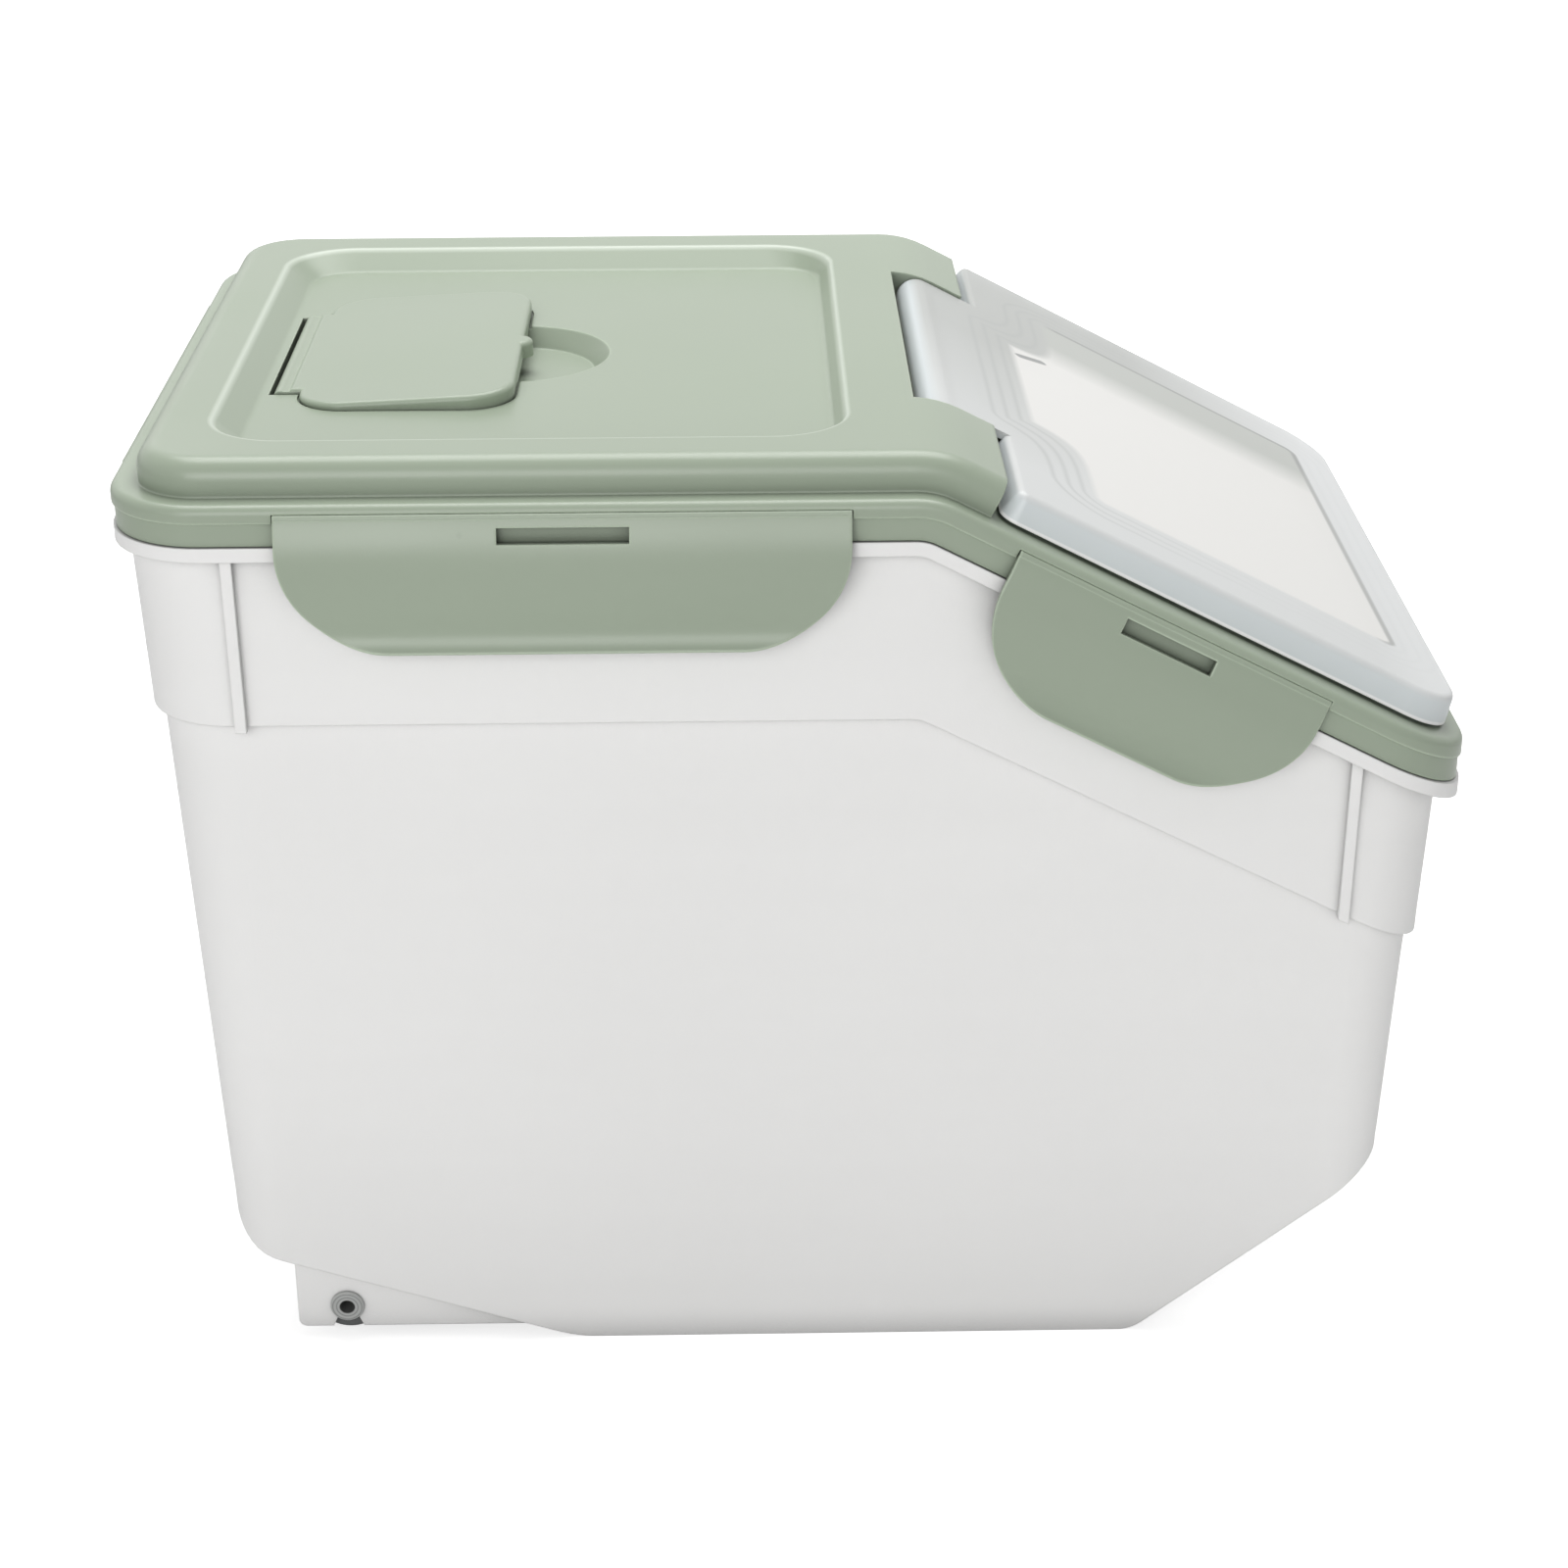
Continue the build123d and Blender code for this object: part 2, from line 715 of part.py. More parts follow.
def latch_profile():
    """Side section of a latch from its two faces."""
    outer = latch_face(0)
    inner = latch_face(-latch_thickness)
    joins = [Line(outer[0] @ 1, inner[0] @ 1), Line(outer[2] @ 1, inner[2] @ 1)]
    return make_face(Curve() + [*outer, *inner, *joins])


def make_latch(length, slot_length):
    """Latch along local X, hinge line at the local origin, outward towards local minus Y."""
    section = latch_profile() + Circle(latch_roll)
    below = -hinge_height - latch_gap
    root = latch_bulge - latch_thickness / 2
    catch = Polyline(
        (root, below),
        (latch_gap, below - latch_gap),
        (latch_gap, below - 2 * latch_gap),
        (root, below - catch_depth),
        close=True,
    )
    plane = Plane(origin=(0, 0, 0), x_dir=(0, -1, 0), z_dir=(-1, 0, 0))
    latch = extrude(plane * section, amount=length / 2, both=True)
    latch += extrude(plane * make_face(catch), amount=catch_share * length, both=True)
    face = Pos(0, -latch_height / 2) * Rectangle(length, latch_height)
    face = fillet(face.vertices().group_by(Axis.Y)[0], latch_corner)
    face += Pos(0, latch_roll) * Rectangle(length, 2 * latch_roll)
    latch &= extrude(Plane.XZ * face, amount=far / 4, both=True)
    slot_top = -latch_roll - slot_drop
    slot = block(-slot_length / 2, slot_length / 2, -far, far, slot_top - slot_height, slot_top)
    return latch - slot


def latch_places():
    """Hinge line, length and slot length of the near side's two latches and the rear one."""
    y = -half_width
    z = rim_height + hinge_height
    front_x, front_z = slope_point(front_latch_centre, hinge_height)
    rear_side = Plane(origin=(side_latch_centre, y, z), x_dir=(1, 0, 0), z_dir=(0, 0, 1))
    front_side = Plane(origin=(front_x, y, front_z), x_dir=slope_plane.x_dir, z_dir=slope_plane.z_dir)
    back = Plane(origin=(-half_length, 0, z), x_dir=(0, -1, 0), z_dir=(0, 0, 1))
    return {
        "rear": (rear_side, side_latch_length, side_slot_length),
        "front": (front_side, front_latch_length, front_slot_length),
        "back": (back, back_latch_length, side_slot_length),
    }


def latch_rooms():
    """Round grooves in the shelf's edge that the latches' rolls turn in, open downwards."""
    rooms = []
    for plane, length, slot_length in latch_places().values():
        half = length / 2 + latch_end_gap
        room = Rot(0, 90, 0) * Cylinder(latch_roll + latch_fit, 2 * half)
        room += block(-half, half, -1, skirt_inset, shelf_under - hinge_height - 1, 0)
        rooms.append(plane * room)
    return rooms + [mirrored(room) for room in rooms[:2]]


# Parts
latches = {name: place[0] * make_latch(place[1], place[2]) for name, place in latch_places().items()}
wheel = make_wheel()
axle = make_axle()
nodes = {
    "tub": make_tub(),
    "axle_left": mirrored(axle),
    "axle_right": axle,
    "wheel_left": mirrored(wheel),
    "wheel_right": wheel,
    "lid_frame": make_lid_frame(),
    "lid_gasket": make_lid_gasket(),
    "flip_lid": make_flip_lid(),
    "flip_gasket": make_flip_gasket(),
    "hatch_door": make_hatch_door(),
    "side_latch_rear_left": mirrored(latches["rear"]),
    "side_latch_rear_right": latches["rear"],
    "side_latch_front_left": mirrored(latches["front"]),
    "side_latch_front_right": latches["front"],
    "rear_latch": latches["back"],
}

os.makedirs("parts", exist_ok=True)
for name, shape in nodes.items():
    solids = shape.solids()
    print(name, len(solids), [round(solid.volume) for solid in solids])
    export_step(Compound(label=name, children=list(solids)), f"parts/{name}.step")
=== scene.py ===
import json
import math

import bpy
from mathutils import Matrix, Vector

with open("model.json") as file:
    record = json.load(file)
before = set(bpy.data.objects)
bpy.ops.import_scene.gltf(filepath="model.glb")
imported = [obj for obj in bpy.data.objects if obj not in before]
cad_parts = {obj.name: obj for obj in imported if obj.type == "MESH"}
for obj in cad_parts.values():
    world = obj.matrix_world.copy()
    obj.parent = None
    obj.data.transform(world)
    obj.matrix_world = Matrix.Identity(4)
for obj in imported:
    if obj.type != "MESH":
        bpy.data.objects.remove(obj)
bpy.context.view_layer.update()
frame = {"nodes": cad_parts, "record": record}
nodes = frame["nodes"]
print("frame loaded")


# Building blocks for shader trees; a place is only where a node sits in the editor
def addNode(tree, kind, place, **values):
    node = tree.nodes.new(kind)
    node.location = place
    for name, value in values.items():
        setattr(node, name, value)
    return node


def addMath(tree, place, operation, first, second=None, third=None, clamp=False):
    node = addNode(tree, "ShaderNodeMath", place, operation=operation, use_clamp=clamp)
    for index, value in enumerate((first, second, third)):
        if value is None:
            continue
        if isinstance(value, bpy.types.NodeSocket):
            tree.links.new(value, node.inputs[index])
        else:
            node.inputs[index].default_value = value
    return node.outputs[0]


# Stretches a span of values over a span of results; the first value gives the first result
def addRange(tree, place, value, span, results=(0.0, 1.0), clamp=True):
    node = addNode(tree, "ShaderNodeMapRange", place, clamp=clamp)
    tree.links.new(value, node.inputs["Value"])
    for name, number in zip(("From Min", "From Max", "To Min", "To Max"), (*span, *results)):
        node.inputs[name].default_value = number
    return node.outputs["Result"]


def addSplit(tree, place, vector):
    node = addNode(tree, "ShaderNodeSeparateXYZ", place)
    tree.links.new(vector, node.inputs[0])
    return node.outputs


def addNoise(tree, place, coords, scale):
    node = addNode(tree, "ShaderNodeTexNoise", place)
    node.inputs["Scale"].default_value = scale
    node.inputs["Detail"].default_value = 1.0
    tree.links.new(coords, node.inputs["Vector"])
    return node.outputs["Fac"]


def mixColor(tree, place, factor, first, second):
    node = addNode(tree, "ShaderNodeMix", place, data_type="RGBA")
    tree.links.new(factor, node.inputs["Factor"])
    for socket, value in ((node.inputs["A"], first), (node.inputs["B"], second)):
        if isinstance(value, bpy.types.NodeSocket):
            tree.links.new(value, socket)
        else:
            socket.default_value = (*value, 1.0)
    return node.outputs["Result"]


# Distance to a rectangle with rounded corners, below zero inside it
def addBoxDistance(tree, place, along, across, shape):
    x, y = place
    corner = shape["corner"]
    middle = (shape["rear"] + shape["front"]) / 2
    halfLength = (shape["front"] - shape["rear"]) / 2 - corner
    lengthways = addMath(tree, (x, y), "SUBTRACT", along, middle)
    lengthways = addMath(tree, (x + 150, y), "ABSOLUTE", lengthways)
    sideways = addMath(tree, (x + 150, y - 150), "ABSOLUTE", across)
    pastEnd = addMath(tree, (x + 300, y), "SUBTRACT", lengthways, halfLength)
    pastSide = addMath(tree, (x + 300, y - 150), "SUBTRACT", sideways, shape["halfWidth"] - corner)
    endOut = addMath(tree, (x + 450, y), "MAXIMUM", pastEnd, 0.0)
    sideOut = addMath(tree, (x + 450, y - 150), "MAXIMUM", pastSide, 0.0)
    square = addMath(tree, (x + 600, y), "MULTIPLY", endOut, endOut)
    square = addMath(tree, (x + 750, y), "MULTIPLY_ADD", sideOut, sideOut, square)
    outside = addMath(tree, (x + 900, y), "SQRT", square)
    deepest = addMath(tree, (x + 450, y - 300), "MAXIMUM", pastEnd, pastSide)
    inside = addMath(tree, (x + 600, y - 300), "MINIMUM", deepest, 0.0)
    both = addMath(tree, (x + 1050, y), "ADD", outside, inside)
    return addMath(tree, (x + 1200, y), "SUBTRACT", both, corner)


# Distance from a line that runs across the object, through a point given along it and up
def addRadius(tree, place, centre):
    x, y = place
    coords = addNode(tree, "ShaderNodeTexCoord", (x, y))
    along, _, above = addSplit(tree, (x + 200, y), coords.outputs["Object"])
    sideways = addMath(tree, (x + 400, y + 100), "SUBTRACT", along, centre[0])
    upwards = addMath(tree, (x + 400, y - 100), "SUBTRACT", above, centre[1])
    square = addMath(tree, (x + 600, y + 100), "MULTIPLY", sideways, sideways)
    square = addMath(tree, (x + 800, y), "MULTIPLY_ADD", upwards, upwards, square)
    return addMath(tree, (x + 950, y), "SQRT", square)


def newGroup(name, inputs, outputs):
    group = bpy.data.node_groups.new(name, "ShaderNodeTree")
    for label, kind in inputs:
        group.interface.new_socket(name=label, in_out="INPUT", socket_type="NodeSocket" + kind)
    for label, kind in outputs:
        group.interface.new_socket(name=label, in_out="OUTPUT", socket_type="NodeSocket" + kind)
    source = addNode(group, "NodeGroupInput", (-1400, 0))
    target = addNode(group, "NodeGroupOutput", (900, 0))
    return group, source, target


# Sizes and strengths of the effects that all the plastics share
mouldedDetail = {
    "noiseSpan": (0.3, 0.7),
    "driftScale": 7.0,
    "flowScale": (4.0, 4.0, 70.0),
    "flowShare": 0.4,
    "edgeSpan": (0.99, 0.8),
    "speckCells": 45.0,
    "speckSpan": (0.012, 0.02),
    "speckDarkness": 0.35,
    "seamSpan": (0.1, 0.8),
    "seamDarkest": 0.28,
    "smudgeScale": 16.0,
    "smudgeShare": 0.03,
    "grainScale": 1600.0,
    "edgeSamples": 6,
    "seamSamples": 6,
}


# Moulded plastic with slow colour drift, flow lines, painted highlights on the edges, fine grain and
# specks, and painted shade in the seams
def makeMouldedSurface(detail):
    inputs = [
        ("Color", "Color"),
        ("Variation", "Float"),
        ("Base Roughness", "Float"),
        ("Edge Tint", "Float"),
        ("Rounded Normal", "Vector"),
        ("Speck Density", "Float"),
        ("Seam Shade Reach", "Float"),
    ]
    outputs = [("Color", "Color"), ("Roughness", "Float"), ("Height", "Float")]
    group, source, target = newGroup("MouldedSurface", inputs, outputs)
    links = group.links
    noiseSpan = detail["noiseSpan"]
    coords = addNode(group, "ShaderNodeTexCoord", (-1400, -400)).outputs["Object"]
    drift = addNoise(group, (-1100, 300), coords, detail["driftScale"])
    stretch = addNode(group, "ShaderNodeMapping", (-1250, 100))
    stretch.inputs["Scale"].default_value = detail["flowScale"]
    links.new(coords, stretch.inputs["Vector"])
    flow = addNoise(group, (-1100, 100), stretch.outputs["Vector"], 1.0)
    slow = addRange(group, (-900, 300), drift, noiseSpan, (-1.0, 1.0), clamp=False)
    flowShare = (-detail["flowShare"], detail["flowShare"])
    streaks = addRange(group, (-900, 100), flow, noiseSpan, flowShare, clamp=False)
    mixed = addMath(group, (-700, 250), "ADD", slow, streaks)
    tone = addMath(group, (-500, 250), "MULTIPLY_ADD", mixed, source.outputs["Variation"], 1.0)

    # painted highlight: edges are made lighter, where the rounded normal turns away from the face's own
    geometry = addNode(group, "ShaderNodeNewGeometry", (-1100, -100))
    turned = addNode(group, "ShaderNodeVectorMath", (-900, -100), operation="DOT_PRODUCT")
    links.new(geometry.outputs["Normal"], turned.inputs[0])
    links.new(source.outputs["Rounded Normal"], turned.inputs[1])
    edge = addRange(group, (-700, -100), turned.outputs["Value"], detail["edgeSpan"])
    glow = addMath(group, (-500, -100), "MULTIPLY", edge, source.outputs["Edge Tint"])
    light = addMath(group, (-300, 100), "ADD", tone, glow)

    # a few small dark specks, one at most in each cell
    cells = addNode(group, "ShaderNodeTexVoronoi", (-1100, -350))
    cells.inputs["Scale"].default_value = detail["speckCells"]
    links.new(coords, cells.inputs["Vector"])
    pick = addNode(group, "ShaderNodeSeparateColor", (-900, -450))
    links.new(cells.outputs["Color"], pick.inputs[0])
    chosen = addMath(group, (-700, -450), "LESS_THAN", pick.outputs[0], source.outputs["Speck Density"])
    near = addRange(group, (-700, -300), cells.outputs["Distance"], detail["speckSpan"], (1.0, 0.0))
    speck = addMath(group, (-500, -350), "MULTIPLY", near, chosen)
    dark = addMath(group, (-300, -300), "MULTIPLY_ADD", speck, -detail["speckDarkness"], 1.0)
    speckled = addMath(group, (-100, 0), "MULTIPLY", light, dark)

    # painted shade that darkens the narrow seams and recesses
    seam = addNode(group, "ShaderNodeAmbientOcclusion", (-500, -750), samples=detail["seamSamples"])
    links.new(source.outputs["Seam Shade Reach"], seam.inputs["Distance"])
    seamShades = (detail["seamDarkest"], 1.0)
    shade = addRange(group, (-300, -750), seam.outputs["AO"], detail["seamSpan"], seamShades)
    final = addMath(group, (50, 0), "MULTIPLY", speckled, shade)
    tint = addNode(group, "ShaderNodeVectorMath", (200, 150), operation="SCALE")
    links.new(source.outputs["Color"], tint.inputs[0])
    links.new(final, tint.inputs["Scale"])
    links.new(tint.outputs["Vector"], target.inputs["Color"])

    smudge = addNoise(group, (-1100, -600), coords, detail["smudgeScale"])
    smudgeShare = (-detail["smudgeShare"], detail["smudgeShare"])
    smear = addRange(group, (-900, -650), smudge, noiseSpan, smudgeShare, clamp=False)
    rough = addMath(group, (-500, -600), "ADD", smear, source.outputs["Base Roughness"])
    links.new(rough, target.inputs["Roughness"])
    grain = addNoise(group, (-1100, -800), coords, detail["grainScale"])
    links.new(grain, target.inputs["Height"])
    return group


mouldedSurface = makeMouldedSurface(mouldedDetail)


def mouldedMaterial(name, look):
    material = bpy.data.materials.new(name)
    material.use_nodes = True
    tree = material.node_tree
    shader = tree.nodes["Principled BSDF"]
    surface = addNode(tree, "ShaderNodeGroup", (-700, 100), node_tree=mouldedSurface, name="Surface")
    surface.inputs["Color"].default_value = (*look["color"], 1.0)
    surface.inputs["Variation"].default_value = look["variation"]
    surface.inputs["Base Roughness"].default_value = look["roughness"]
    surface.inputs["Edge Tint"].default_value = look["edgeHighlightStrength"]
    surface.inputs["Speck Density"].default_value = look["speckDensity"]
    surface.inputs["Seam Shade Reach"].default_value = look["seamShadeReach"]
    soften = addNode(tree, "ShaderNodeBevel", (-1000, -300), samples=mouldedDetail["edgeSamples"])
    soften.inputs["Radius"].default_value = look["edgeRadius"]
    bump = addNode(tree, "ShaderNodeBump", (-400, -300))
    bump.inputs["Distance"].default_value = look["grainDepth"]
    tree.links.new(soften.outputs["Normal"], surface.inputs["Rounded Normal"])
    tree.links.new(surface.outputs["Color"], shader.inputs["Base Color"])
    tree.links.new(surface.outputs["Roughness"], shader.inputs["Roughness"])
    tree.links.new(surface.outputs["Height"], bump.inputs["Height"])
    tree.links.new(soften.outputs["Normal"], bump.inputs["Normal"])
    tree.links.new(bump.outputs["Normal"], shader.inputs["Normal"])
    return material


# Flip lid: places along the slope from the bend, across it, and above the rim
slopePlaces = {
    "bend": (0.0336, 0.0, 0.272),
    "slope": 27.5,
    "skirtFoot": 0.0172,
    "skirtHead": 0.0236,
    "skirtBlend": 0.0018,
    "footLine": 0.0007,
    "footBlend": 0.0004,
    "lidEdge": {"rear": 0.0156, "front": 0.1666, "halfWidth": 0.121, "corner": 0.018},
    "edgeDepth": 0.003,
    "edgeBlend": 0.0005,
    "neck": {"rear": 0.0155, "front": 0.07, "halfWidth": 0.054, "corner": 0.004},
    "mouth": {"rear": 0.0315, "front": 0.1615, "halfWidth": 0.1045, "corner": 0.018},
    "neckBlend": 0.03,
    "sealPitch": 0.005,
    "sealLines": 2,
    "sealWidth": 0.0014,
    "sealFade": (0.035, 0.1),
    "sealFaintest": 0.12,
    "windowInset": 0.0145,
    "windowBlur": 0.0013,
    "rimWidth": 0.0016,
    "rimFarSide": (0.03, 0.075),
    "rimFrontEnd": (0.14, 0.1465),
    "rimFrontShare": 0.75,
    "rimStart": (0.047, 0.052),
    "farWallShade": (0.042, 0.066),
    "milkyForward": (0.08, 0.155),
    "milkyBeside": (0.03, -0.09),
    "milkyBesideShare": 0.75,
}
slopeMark = {
    "along": 0.0365,
    "across": 0.035,
    "turn": 32.0,
    "length": 0.0105,
    "radius": 0.002,
    "core": 0.6,
}
flipLidLook = {
    "windowAlpha": 0.84,
    "marginAlpha": 0.84,
    "skirtAlpha": 0.9,
    "windowColor": (0.90, 0.893, 0.868),
    "wallShadeColor": (0.57, 0.59, 0.555),
    "nearColor": (0.83, 0.845, 0.845),
    "sealColor": (0.46, 0.48, 0.47),
    "rimColor": (0.36, 0.37, 0.36),
    "markColor": (0.33, 0.34, 0.335),
    "skirtColor": (0.73, 0.775, 0.79),
    "footColor": (1.0, 1.0, 1.0),
    "strengths": {"Seal": 0.45, "Rim": 1.0, "Mark": 1.0, "Skirt": 1.0, "Foot": 1.0},
}


# Clear window, seal lines, skirt, foot line and the small mark of the flip lid, as masks; the foot line is
# a painted highlight, and the window's rim lines and far side carry painted shade
def makeFlipZones(places, mark):
    masks = ["Window", "Seal", "Rim", "Wall Shade", "Mark", "Skirt", "Foot", "Near"]
    group, _, target = newGroup("FlipLidZones", [], [(mask, "Float") for mask in masks])
    links = group.links
    coords = addNode(group, "ShaderNodeTexCoord", (-3400, -200)).outputs["Object"]
    place = addNode(group, "ShaderNodeMapping", (-3200, -200), vector_type="TEXTURE")
    place.inputs["Location"].default_value = places["bend"]
    place.inputs["Rotation"].default_value = (0.0, math.radians(places["slope"]), 0.0)
    links.new(coords, place.inputs["Vector"])
    along, across, above = addSplit(group, (-3000, -200), place.outputs["Vector"])

    neck = addBoxDistance(group, (-2700, 900), along, across, places["neck"])
    mouth = addBoxDistance(group, (-2700, 400), along, across, places["mouth"])
    outline = addMath(group, (-1300, 600), "SMOOTH_MIN", neck, mouth, places["neckBlend"])

    # the seal's ribs follow the mouth and its neck, and fade towards the front
    pitch, width = places["sealPitch"], places["sealWidth"]
    innermost = -places["sealLines"] * pitch - width
    ripple = addMath(group, (-1100, 700), "PINGPONG", outline, pitch / 2)
    ribs = addRange(group, (-900, 700), ripple, (0.0, width), (1.0, 0.0))
    outer = addMath(group, (-900, 550), "LESS_THAN", outline, width)
    inner = addMath(group, (-900, 400), "GREATER_THAN", outline, innermost)
    ribs = addMath(group, (-700, 600), "MULTIPLY", ribs, outer)
    ribs = addMath(group, (-500, 600), "MULTIPLY", ribs, inner)
    fade = addRange(group, (-700, 400), along, places["sealFade"], (1.0, places["sealFaintest"]))
    links.new(addMath(group, (-300, 600), "MULTIPLY", ribs, fade), target.inputs["Seal"])

    # the window is crisp along its far and front edges; the dark line there is the collar's rim showing
    # through, partly the rim and partly painted shadow
    inset, blur = places["windowInset"], places["windowBlur"]
    window = addRange(group, (-900, 200), outline, (-inset - blur, -inset + blur), (1.0, 0.0))
    links.new(window, target.inputs["Window"])
    offLine = addMath(group, (-1100, 50), "ADD", outline, inset)
    offLine = addMath(group, (-900, 50), "ABSOLUTE", offLine)
    rimWidth = places["rimWidth"]
    line = addRange(group, (-700, 50), offLine, (rimWidth / 3, rimWidth), (1.0, 0.0))
    farSide = addRange(group, (-900, -100), across, places["rimFarSide"])
    frontEnd = addRange(group, (-900, -250), along, places["rimFrontEnd"], (0.0, places["rimFrontShare"]))
    shown = addMath(group, (-700, -150), "MAXIMUM", farSide, frontEnd)
    started = addRange(group, (-700, -300), along, places["rimStart"])
    shown = addMath(group, (-500, -150), "MULTIPLY", shown, started)
    links.new(addMath(group, (-300, 0), "MULTIPLY", line, shown), target.inputs["Rim"])
    # painted shade of the collar's far wall, seen through the window's far side
    links.new(addRange(group, (-300, -200), across, places["farWallShade"]), target.inputs["Wall Shade"])

    # the plate is milkier towards its front and its near side
    forward = addRange(group, (-700, -450), along, places["milkyForward"])
    besideShare = (0.0, places["milkyBesideShare"])
    beside = addRange(group, (-700, -600), across, places["milkyBeside"], besideShare)
    links.new(addMath(group, (-500, -500), "MAXIMUM", forward, beside), target.inputs["Near"])

    # a short dash with round ends
    turned = addNode(group, "ShaderNodeMapping", (-2700, -600), vector_type="TEXTURE")
    turned.inputs["Location"].default_value = (mark["along"], mark["across"], 0.0)
    turned.inputs["Rotation"].default_value = (0.0, 0.0, math.radians(mark["turn"]))
    links.new(place.outputs["Vector"], turned.inputs["Vector"])
    lengthways, sideways, _ = addSplit(group, (-2500, -600), turned.outputs["Vector"])
    past = addMath(group, (-2300, -600), "ABSOLUTE", lengthways)
    past = addMath(group, (-2100, -600), "SUBTRACT", past, mark["length"] / 2)
    past = addMath(group, (-1900, -600), "MAXIMUM", past, 0.0)
    square = addMath(group, (-1700, -600), "MULTIPLY", past, past)
    square = addMath(group, (-1500, -600), "MULTIPLY_ADD", sideways, sideways, square)
    offMark = addMath(group, (-1300, -600), "SQRT", square)
    markSpan = (mark["radius"] * mark["core"], mark["radius"])
    links.new(addRange(group, (-1100, -600), offMark, markSpan, (1.0, 0.0)), target.inputs["Mark"])

    # only the lid's rim counts as skirt, and not the plate's underside
    head, depth = places["skirtHead"], places["edgeDepth"]
    offEdge = addBoxDistance(group, (-2700, -1000), along, across, places["lidEdge"])
    atEdge = addRange(group, (-1300, -1000), offEdge, (-depth, -depth + places["edgeBlend"]))
    low = addRange(group, (250, -100), above, (head, head + places["skirtBlend"]), (1.0, 0.0))
    links.new(addMath(group, (450, -100), "MULTIPLY", low, atEdge), target.inputs["Skirt"])
    # a white painted highlight along the skirt's foot
    footTop = places["skirtFoot"] + places["footLine"]
    foot = addRange(group, (250, -300), above, (footTop, footTop + places["footBlend"]), (1.0, 0.0))
    links.new(foot, target.inputs["Foot"])
    return group


flipZones = makeFlipZones(slopePlaces, slopeMark)


# Milky plastic that is clearer in the lid's window and bluer and denser down its skirt, and carries the
# painted shade, shadow lines and foot highlight of the zone masks
def frostedMaterial(name, look, zonesLook):
    material = mouldedMaterial(name, look)
    tree = material.node_tree
    shader = tree.nodes["Principled BSDF"]
    surface = tree.nodes["Surface"].outputs["Color"]
    zones = addNode(tree, "ShaderNodeGroup", (-700, 500), node_tree=flipZones).outputs
    # the window's far side is mixed towards a painted shade
    window = mixColor(tree, (-450, 900), zones["Wall Shade"], zonesLook["windowColor"], zonesLook["wallShadeColor"])
    milky = mixColor(tree, (-650, 750), zones["Near"], surface, zonesLook["nearColor"])
    color = mixColor(tree, (-450, 600), zones["Window"], milky, window)
    for step, (mask, strength) in enumerate(zonesLook["strengths"].items()):
        amount = addMath(tree, (200 * step - 450, 1100), "MULTIPLY", zones[mask], strength)
        color = mixColor(tree, (200 * step - 250, 600), amount, color, zonesLook[mask.lower() + "Color"])
    tree.links.new(color, shader.inputs["Base Color"])
    margin = zonesLook["marginAlpha"]
    clearer = zonesLook["windowAlpha"] - margin
    denser = zonesLook["skirtAlpha"] - margin
    alpha = addMath(tree, (-450, 350), "MULTIPLY_ADD", zones["Window"], clearer, margin)
    dense = addMath(tree, (-450, 200), "MULTIPLY", zones["Skirt"], denser)
    alpha = addMath(tree, (-250, 300), "ADD", alpha, dense, clamp=True)
    tree.links.new(alpha, shader.inputs["Alpha"])
    return material


# Small round mark that the moulding gate leaves on the long side latches
gateMark = {"place": (-0.0947, 0.2804), "radius": 0.0011, "core": 0.4, "shade": 0.45, "strength": 0.14}


def gateMarkedMaterial(name, look, mark):
    material = mouldedMaterial(name, look)
    tree = material.node_tree
    distance = addRadius(tree, (-1500, 600), mark["place"])
    markSpan = (mark["core"] * mark["radius"], mark["radius"])
    spot = addRange(tree, (-350, 500), distance, markSpan, (mark["strength"], 0.0))
    dark = tuple(mark["shade"] * channel for channel in look["color"])
    marked = mixColor(tree, (-150, 400), spot, tree.nodes["Surface"].outputs["Color"], dark)
    tree.links.new(marked, tree.nodes["Principled BSDF"].inputs["Base Color"])
    return material


# Dark ring lines on the axle heads, and painted shade in the hollow bore of the axles
axleRings = {
    "place": (-0.1452, 0.0117),
    "bore": 0.0023,
    "boreShadeStrength": 0.95,
    "rings": (0.0034, 0.0046),
    "ringWidth": 0.00035,
    "ringStrength": 0.55,
    "shade": 0.12,
}


def ringedMaterial(name, look, marks):
    material = mouldedMaterial(name, look)
    tree = material.node_tree
    distance = addRadius(tree, (-1700, 700), marks["place"])
    dark = tuple(marks["shade"] * channel for channel in look["color"])
    bore, width = marks["bore"], marks["ringWidth"]
    # painted shade darkens the hollow bore
    inside = addRange(tree, (-500, 900), distance, (bore, bore + width), (marks["boreShadeStrength"], 0.0))
    color = mixColor(tree, (-300, 700), inside, tree.nodes["Surface"].outputs["Color"], dark)
    for step, radius in enumerate(marks["rings"]):
        x = 400 * step
        offRing = addMath(tree, (x - 500, 1100), "SUBTRACT", distance, radius)
        offRing = addMath(tree, (x - 300, 1100), "ABSOLUTE", offRing)
        line = addRange(tree, (x - 100, 900), offRing, (0.0, width), (marks["ringStrength"], 0.0))
        color = mixColor(tree, (x - 100, 700), line, color, dark)
    tree.links.new(color, tree.nodes["Principled BSDF"].inputs["Base Color"])
    return material


# Painted highlight: a bright line along the rounded edge of the lid's panel
panelEdgeHighlight = {
    "shape": {"rear": -0.169, "front": 0.014, "halfWidth": 0.1035, "corner": 0.022},
    "heights": (0.2958, 0.2968),
    "offset": 0.0003,
    "width": 0.0014,
    "color": (0.62, 0.68, 0.59),
    "strength": 0.9,
}


